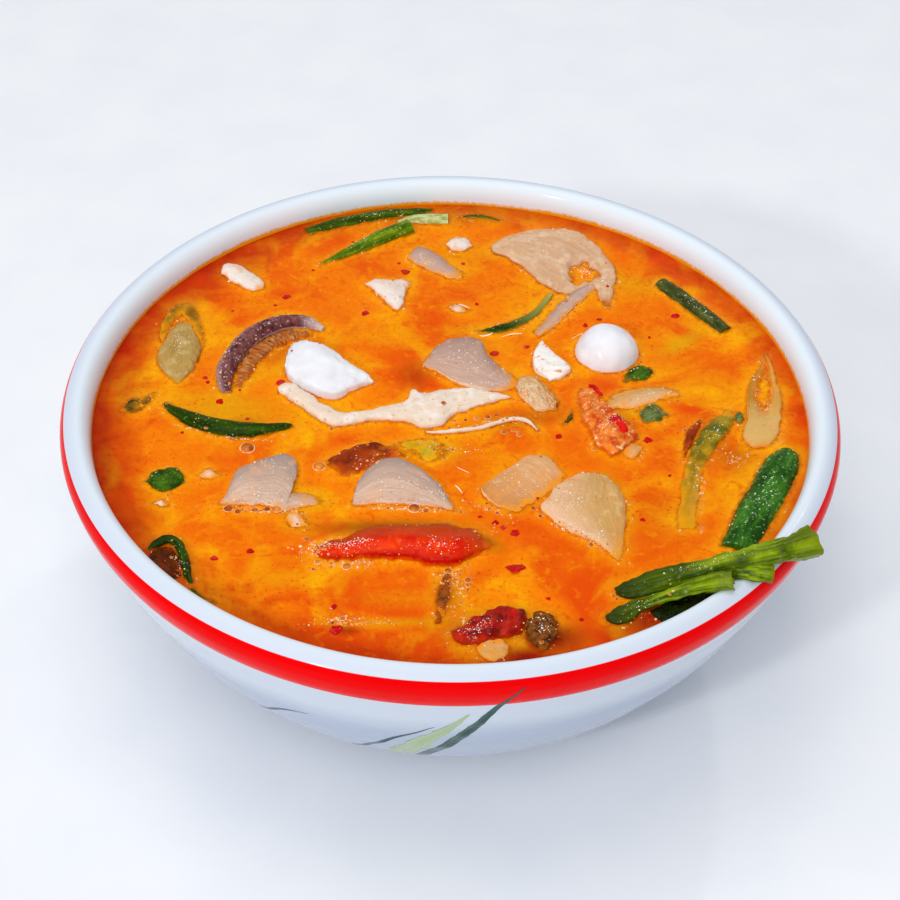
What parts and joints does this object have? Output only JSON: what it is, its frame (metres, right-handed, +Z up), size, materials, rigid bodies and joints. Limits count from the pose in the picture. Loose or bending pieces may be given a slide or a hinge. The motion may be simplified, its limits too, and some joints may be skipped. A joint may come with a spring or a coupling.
{
  "type": "tom yum soup",
  "caption": "Round deep bowl with a rolled lip, filled with orange tom yum broth, vegetables, mushroom and seafood; green stalks lie on its lip.",
  "frame": {"origin": "bottom centre of the bowl's foot ring, on the surface it stands on", "axes": "+Z up out of the bowl, +X to the diner's right, +Y away from the diner"},
  "size_m": [0.21, 0.21, 0.0897],
  "materials": {
    "bowl_melamine": "white glossy moulded melamine with a red printed band",
    "broth": "glossy orange broth with chilli oil",
    "onion": "scalded translucent onion and shallot",
    "mushroom_pale": "wet cream oyster mushroom",
    "mushroom_dark": "wet purple-brown mushroom cap",
    "mushroom_gill": "brown-gold mushroom gills",
    "seafood_white": "wet white fish ball, squid and fish cake",
    "shrimp": "rough cooked orange shrimp and brown meat",
    "tomato": "wet cooked red tomato",
    "pepper": "olive pepper and dark chilli skin",
    "greens": "wet long bean, water spinach and herb leaf",
    "chilli_bits": "crushed red chilli flakes and seeds",
    "froth": "small bubbles and froth on the broth",
    "oil": "yellow chilli oil film along the bowl wall"
  },
  "bodies": {
    "root": {"bowl": "bowl_melamine", "soup": "broth", "onion_petal_pink": "onion", "onion_petal_yellow": "onion", "onion_petal_peach": "onion", "onion_petal_middle": "onion", "onion_petal_left": "onion", "onion_petal_back": "onion", "onion_sliver_back": "onion", "onion_slice_white": "onion", "onion_wedge_right": "onion", "onion_strip_back": "onion", "onion_strip_right": "onion", "onion_front": "onion", "shallot_nub_back": "onion", "cream_nub_middle": "onion", "oyster_mushroom_long": "mushroom_pale", "oyster_mushroom_big": "mushroom_pale", "mushroom_sliver": "mushroom_pale", "pale_wedge_left": "mushroom_pale", "mushroom_cap_dark": "mushroom_dark", "mushroom_gills": "mushroom_gill", "fish_ball": "seafood_white", "squid_chunk": "seafood_white", "fish_cake_wedge": "seafood_white", "shrimp_chunk": "shrimp", "shrimp_tail_pale": "shrimp", "brown_chunk_front": "shrimp", "brown_fold_front": "shrimp", "tomato_wedge": "tomato", "tomato_front": "tomato", "chilli_skin_dark": "pepper", "pepper_slice_middle": "pepper", "pepper_strip_bent": "pepper", "bean_stem_back": "greens", "leek_back": "greens", "bean_tip_back": "greens", "green_strip_back": "greens", "bean_back_right": "greens", "green_curl_middle": "greens", "green_chilli_left": "greens", "leaf_left": "greens", "leaf_curl_front": "greens", "leaf_curl_front_end": "greens", "herb_shred_left": "greens", "bean_thick_right": "greens", "leaf_shred_ball": "greens", "leaf_shred_right": "greens", "stalk_leaf": "greens", "stalk_top": "greens", "stalk_under": "greens", "stalk_spur": "greens"}
  },
  "joints": []
}
